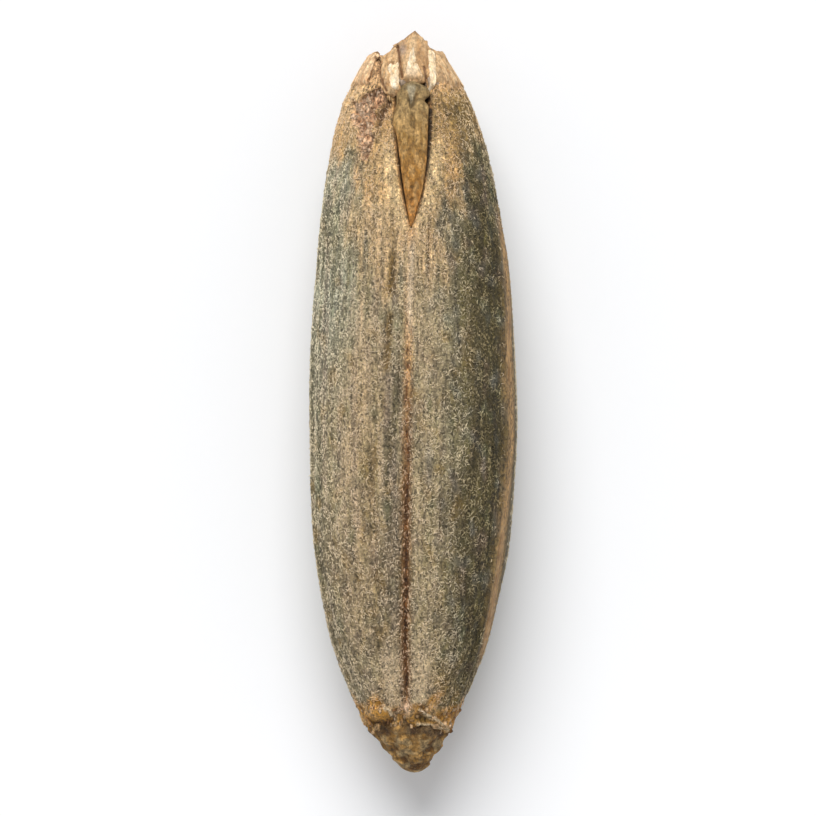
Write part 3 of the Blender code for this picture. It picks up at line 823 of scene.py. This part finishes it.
# %% [markdown]
# ## The base
# The base is a rough cone of broken, corky tissue that comes out from under the coat's rim. On the sides and
# the back, flakes of the rim's skin are torn loose and lie over it. No two are alike, so a seeded draw sets
# their places and sizes.

# %% Build the scar and the rim's flakes
SCAR_HALF_WIDTH = (
    (-4.00, 0.10), (-3.94, 0.140), (-3.83, 0.222), (-3.72, 0.305), (-3.65, 0.352), (-3.54, 0.41),
    (-3.36, 0.38),
)
SCAR_TIP_X, SCAR_ROOT_X, SCAR_Z, SCAR_FLATNESS = 0.017, -0.049, 0.98, 0.80

scar_form = new_form()
scar_verts, turn, share = add_sphere(scar_form, 150, 90)
low, high = SCAR_HALF_WIDTH[0][0], SCAR_HALF_WIDTH[-1][0]
y = low + (high - low) * share
radius = along(SCAR_HALF_WIDTH, y) * rounded_end(y - low, 0.06) * eased((1 - share) * 12)
plain = 2.7 * np.column_stack([radius * np.sin(turn), y, radius * np.cos(turn)])
scar_lumps = rough(plain, 0.36)
scar_grain = rough(plain, 0.14)
radius += eased(share * 5) * (0.045 * scar_lumps + 0.022 * scar_grain + 0.006 * rough(plain, 0.05))
spots = np.column_stack([
    SCAR_TIP_X + (SCAR_ROOT_X - SCAR_TIP_X) * share + radius * np.sin(turn),
    y + 0.02 * eased(share * 6) * rough(plain, 0.2, 9.0),
    SCAR_Z + SCAR_FLATNESS * radius * np.cos(turn),
])
# painted shadow that the coat's rim casts on the scar near its root, broken where a gap lets light in
shadow_under_rim = eased((y + 3.60 + 0.08 * scar_grain) / 0.05)
break_in_shade = bell(spots[:, 0] + 0.17, 0.06)
scar_tint = painted(
    "#90682E",
    ("#C09454", 0.8 * eased(0.4 + 1.8 * scar_grain)),
    # darker in the dips between the lumps: partly the cork's own mottle, partly painted shade
    ("#543410", 0.85 * eased(0.05 - 2.2 * scar_lumps)),
    ("#BDA478", 0.60 * eased(3 * rough(plain, 0.24, 4.0))),
    # painted shadow under the rim
    ("#3A210C", 0.8 * shadow_under_rim * (1 - 0.8 * break_in_shade)),
)
put(scar_form, scar_verts, spots, scar_tint, 0.0)
make_piece("base_scar", scar_form, cork)

# As with the husks, the third colour of each skin is painted shade in a flake's dips and under it.
GOLD_SKIN = ("#B98235", "#E0AC66", "#66400F")
BROWN_SKIN = ("#8C5F2B", "#B58749", "#40260D")
PALE_SKIN = ("#DDBF92", "#F3E0BD", "#A67C46")
FLAKE_PLACES = 30
FACE_REACH = 58  # degrees either side of the middle of the face, where no flake lies
draw = np.random.default_rng(8)
rim_form = new_form()
for number in range(FLAKE_PLACES):
    colours = (GOLD_SKIN, BROWN_SKIN, GOLD_SKIN, PALE_SKIN)[number % 4]
    place = -180 + 360 * number / FLAKE_PLACES + draw.uniform(-5, 5)
    from_y = draw.uniform(-3.42, -3.26)
    flake = Strip(
        place, draw.uniform(3, 7), place + draw.uniform(-16, 16), draw.uniform(2, 6),
        from_y, max(from_y - draw.uniform(0.10, 0.20), -3.52),
        draw.uniform(-0.02, 0.006), 0.020, draw.uniform(-0.6, 0.6), draw.uniform(0, 0.9),
    )
    if abs(place) > FACE_REACH:
        add_strip(rim_form, flake, 28, 28, colours, 130 + number * 4.3)
make_piece("rim_flakes", rim_form, husk)

# %% [markdown]
# ## The fold on the right flank
# On the right flank the skin of the back laps over the skin of the face. The lap's edge is a smooth, narrow
# band of tan tissue with a thin dark line outside it, so it is a long strip of its own that casts a real
# shadow.

# %% Build the fold's lip
fold_form = new_form()
fold_verts, turn, share = add_sphere(fold_form, 16, 420)
low, high = FOLD_X[0][0], FOLD_X[-1][0]
y = low + (high - low) * share
across, up = powered(np.sin(turn), 0.7), np.cos(turn)
on_axis = np.column_stack([y * 0, y, y * 0])
band = 0.034 * (1 + 0.25 * rough(on_axis, 0.35)) * rounded_end(y - low, 0.5)
band *= eased((high - y) / 0.9)
x = along(FOLD_X, y) + band * across + 0.008 * rough(on_axis, 0.2, 6.0)
half_width, middle_x, middle_z, rise, drop = section(y)
cosine = np.clip((x - middle_x) / half_width, -0.995, 0.995)
sine = np.sqrt(1 - cosine**2)
lift = 0.004 + 0.018 * up - 0.03 * (1 - rounded_end(y - low, 0.4) * eased((high - y) / 0.9))
x = middle_x + (half_width + lift) * cosine
z = middle_z + rise * powered(sine, FACE_FULLNESS) + lift * sine
spots = np.column_stack([x, y, z])
streaks = rough(spots, (0.02, 0.5, 0.02))
fold_tint = painted(
    "#A37C4A",
    ("#BC9664", 0.8 * eased(0.5 + 1.8 * streaks)),
    ("#7A5222", 0.7 * eased(0.1 - 2 * rough(spots, (0.05, 0.25, 0.05), 3.0))),
)
put(fold_form, fold_verts, spots, fold_tint, 0.0)
make_piece("fold_lip", fold_form, husk)

# %% [markdown]
# ## Crumbs
# The floor of the flaked patch and the rim of the base are littered with crumbs of broken skin. Each is a
# tiny lump with few faces, because there are many of them, sunk a little into what it lies on.

# %% Scatter the crumbs
PATCH_CRUMBS, RIM_CRUMBS = 50, 60
draw = np.random.default_rng(21)
crumb_form = new_form()
in_patch = np.flatnonzero((mark_flaked > 0.6) & (mark_cavity < 0.5))
at_rim = np.flatnonzero((coat_spots[:, 1] < -3.27) & (coat_spots[:, 1] > -3.57) & on_face)
crumb_hosts = np.concatenate([draw.choice(in_patch, PATCH_CRUMBS), draw.choice(at_rim, RIM_CRUMBS)])
for number, host in enumerate(crumb_hosts):
    made = bmesh.ops.create_icosphere(crumb_form, subdivisions=2, radius=1)
    unit = np.array([vert.co for vert in made["verts"]])
    sides = draw.uniform(0.010, 0.034, 3) * (1, 1.3, 0.4)
    lumpy = 1 + 0.9 * rough(unit + number * 3.3, 0.7)
    spots = coat_spots[host] + unit * sides * lumpy[:, None]
    shade = np.full(len(unit), draw.uniform(0, 1))
    base = "#C29A7C" if number < PATCH_CRUMBS else "#B98A48"
    tint = painted(base, ("#E4C8A8", 0.8 * shade), ("#8A6042", 0.8 * eased(1 - 3 * shade)))
    put(crumb_form, made["verts"], spots, tint, 0.0)
make_piece("crumbs", crumb_form, cork)

# %% [markdown]
# ## The down
# The whole coat is felted with short, curly plant hairs that lie pressed flat and give the grain its silvery
# bloom. They are 0.02 to 0.08 mm long, and drawn coarser than life, about 0.01 mm thick, to show at this
# size. Each hair is a three-sided cone with one cut, bent along an arc that lies on the coat. One hair is
# made with mesh operators and doubled until there are thousands, and then each copy is laid on its own spot.

# %% Make one hair and double it
HAIR_DOUBLINGS = 14
HAIR_LENGTH = (0.022, 0.076)
HAIR_RADIUS = (0.0038, 0.0060)
DOWN_LAYERS = 4


def make_hair():
    """One hair: a three-sided cone from 0 to 1 along Z."""
    form = bmesh.new()
    stand_on_z = Matrix.Translation((0, 0, 0.5))
    bmesh.ops.create_cone(
        form, cap_ends=True, segments=3, radius1=1, radius2=0, depth=1, matrix=stand_on_z
    )
    geometry = form.verts[:] + form.edges[:] + form.faces[:]
    bmesh.ops.bisect_plane(form, geom=geometry, plane_co=(0, 0, 0.5), plane_no=(0, 0, 1))
    return form


def hair_thicket():
    """Many copies of the hair in one mesh, one after the other."""
    mesh = bpy.data.meshes.new("thicket")
    form = make_hair()
    bmesh.ops.recalc_face_normals(form, faces=form.faces)
    form.to_mesh(mesh)
    form.free()
    for _ in range(HAIR_DOUBLINGS):
        form = bmesh.new()
        form.from_mesh(mesh)
        form.from_mesh(mesh)
        form.to_mesh(mesh)
        form.free()
    return mesh


def point_array(mesh, name, width):
    values = np.empty(len(mesh.vertices) * width)
    if name == "co":
        mesh.vertices.foreach_get("co", values)
    elif name == "normal":
        mesh.vertex_normals.foreach_get("vector", values)
    else:
        attribute = mesh.attributes[name]
        attribute.data.foreach_get("color" if width == 4 else "value", values)
    return values.reshape(-1, width)


thicket = hair_thicket()
hair_count = 2**HAIR_DOUBLINGS
template = point_array(thicket, "co", 3).reshape(hair_count, -1, 3)
assert np.allclose(template, template[0]), "the copies of the hair must follow each other"
template = template[0]
print("hair points:", len(template), "hairs in a thicket:", hair_count)


# %% Lay the hairs on the grain
def scatter(piece, count, draw):
    """Random spots on a piece, more of them where it is downy, with the normal and tint there."""
    mesh = piece.data
    mesh.calc_loop_triangles()
    corners = np.empty(len(mesh.loop_triangles) * 3, dtype=np.int32)
    mesh.loop_triangles.foreach_get("vertices", corners)
    corners = corners.reshape(-1, 3)
    places, normals = point_array(mesh, "co", 3) / MM, point_array(mesh, "normal", 3)
    tint, downy = point_array(mesh, "tint", 4)[:, :3], point_array(mesh, "downy", 1)[:, 0]
    a, b, c = (places[corners[:, k]] for k in range(3))
    area = np.linalg.norm(np.cross(b - a, c - a), axis=1) * downy[corners].mean(axis=1)
    picked = draw.choice(len(corners), count, p=area / area.sum())
    weights = draw.dirichlet((1, 1, 1), count)
    spots = (places[corners[picked]] * weights[:, :, None]).sum(axis=1)
    return spots, normals[corners[picked, 0]], tint[corners[picked, 0]]


def lay_down(name, piece, length, seed):
    """Lays one thicket on a piece: each hair lies along an arc, a little above the surface."""
    draw = np.random.default_rng(seed)
    roots, normal, tint = scatter(piece, hair_count, draw)
    clumps = 0.8 * rough(roots, 0.085) + 0.5 * rough(roots, (0.06, 0.25, 0.06), 7.0)
    brightness = np.clip(draw.uniform(0.0, 1.0, hair_count) + clumps, 0, 1) ** 1.3
    lengthwise = np.array((0.0, 1.0, 0.0)) - normal * normal[:, 1:2]
    lengthwise /= np.linalg.norm(lengthwise, axis=1)[:, None]
    crosswise = np.cross(normal, lengthwise)
    heading = draw.normal(0, 0.75, hair_count) + math.pi * draw.integers(0, 2, hair_count)
    bend = draw.choice((-1, 1), hair_count) * draw.uniform(0.6, 2.8, hair_count)
    reach = draw.triangular(length[0], 0.5 * sum(length), length[1], hair_count)
    thickness = draw.uniform(*HAIR_RADIUS, hair_count)
    height = 0.002 + 0.009 * brightness

    t = template[:, 2][None, :]
    turned = heading[:, None] + bend[:, None] * t
    forward = reach[:, None] * (np.sin(turned) - np.sin(heading)[:, None]) / bend[:, None]
    sideways = -reach[:, None] * (np.cos(turned) - np.cos(heading)[:, None]) / bend[:, None]
    above = height[:, None] * (2.8 * t * (1 - t) + 0.3 * t) - 0.001
    around = np.arctan2(template[:, 1], template[:, 0])[None, :]
    radius = thickness[:, None] * np.sqrt(np.clip(1 - 0.9 * t**2, 0, 1))
    forward = forward - radius * np.cos(around) * np.sin(turned)
    sideways = sideways + radius * np.cos(around) * np.cos(turned)
    above = above + radius * np.sin(around)
    spots = (
        roots[:, None] + forward[..., None] * lengthwise[:, None]
        + sideways[..., None] * crosswise[:, None] + above[..., None] * normal[:, None]
    )
    spots[..., 2] = np.maximum(spots[..., 2], 0.001)

    mesh = thicket.copy()
    mesh.name = name
    mesh.vertices.foreach_set("co", (spots * MM).ravel())
    brightness, shade = brightness[:, None], tint.mean(axis=1)[:, None]
    pale = linear("#DFC688") + (linear("#EADAC4") - linear("#DFC688")) * np.clip(shade / 0.12, 0, 1)
    hair = tint * (0.90 + 0.9 * brightness) + 1.65 * brightness * np.sqrt(shade) * pale
    hair /= np.maximum(hair.max(axis=1) / 0.85, 1.0)[:, None]
    colours = np.repeat(hair, len(template), axis=0)
    attribute = mesh.attributes.new("tint", "FLOAT_COLOR", "POINT")
    attribute.data.foreach_set("color", np.column_stack([colours, np.ones(len(colours))]).ravel())
    mesh.shade_smooth()
    mesh.materials.append(down_skin)
    down = add_object(name, mesh)
    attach(down, "root")
    mesh.calc_loop_triangles()
    print(f"{name}: {len(mesh.loop_triangles)} triangles")


for number in range(DOWN_LAYERS):
    lay_down(f"coat_down_{number + 1}", coat, HAIR_LENGTH, seed=100 + number)
bpy.data.meshes.remove(thicket)

# %% [markdown]
# ## Floor, light and camera
# The floor is plain white card. One broad, soft light comes from beyond the tip, a little to the left, and a
# white surround fills the shadows. They leave a soft shadow below the base and a faint one along the right.
# The lens is long, so the grain shows almost no perspective, and the camera looks straight down with the
# grain's tip at the top.

# %% Set the stage
FLOOR_SIZE = 400.0
SUN_FROM = Vector((-0.10, 0.71, 0.71))
SUN_STRENGTH = 2.7
SUN_ANGLE = math.radians(42)
SURROUND = 0.53
PIXEL = 8.0 / 739.5  # millimetres for one pixel of the 816 by 816 frame, from the grain's length in it
FRAME_PIXELS = 816
FRAME_MIDDLE = Vector((-0.054, -0.057, 0.95))
LENS = 500.0
SENSOR = 36.0

floor_form = bmesh.new()
bmesh.ops.create_grid(floor_form, x_segments=1, y_segments=1, size=FLOOR_SIZE / 2 * MM)
floor_mesh = bpy.data.meshes.new("floor")
floor_form.to_mesh(floor_mesh)
floor_form.free()
card, card_shader = new_material("white_card", 0.9, 1.4)
card_shader.inputs["Base Color"].default_value = (*linear("#F4F5F7"), 1.0)
floor_mesh.materials.append(card)
floor = add_object("floor", floor_mesh)

sun_data = bpy.data.lights.new("soft_light", "SUN")
sun_data.energy = SUN_STRENGTH
sun_data.angle = SUN_ANGLE
sun = add_object("soft_light", sun_data)
sun.rotation_euler = SUN_FROM.to_track_quat("Z", "Y").to_euler()

world = bpy.data.worlds.new("surround")
world.use_nodes = True
background = world.node_tree.nodes["Background"].inputs
background["Color"].default_value = (1.0, 1.0, 1.0, 1.0)
background["Strength"].default_value = SURROUND
bpy.context.scene.world = world
bpy.context.scene.view_settings.view_transform = "Standard"

camera_data = bpy.data.cameras.new("macro_lens")
camera_data.lens = LENS
camera_data.sensor_width = SENSOR
camera_data.clip_start, camera_data.clip_end = 0.001, 10.0  # metres
camera = add_object("macro_lens", camera_data)
away = FRAME_PIXELS * PIXEL * LENS / SENSOR
camera.location = (FRAME_MIDDLE + Vector((0, 0, away))) * MM
bpy.context.scene.camera = camera
print("camera is", round(away, 1), "mm above the grain")
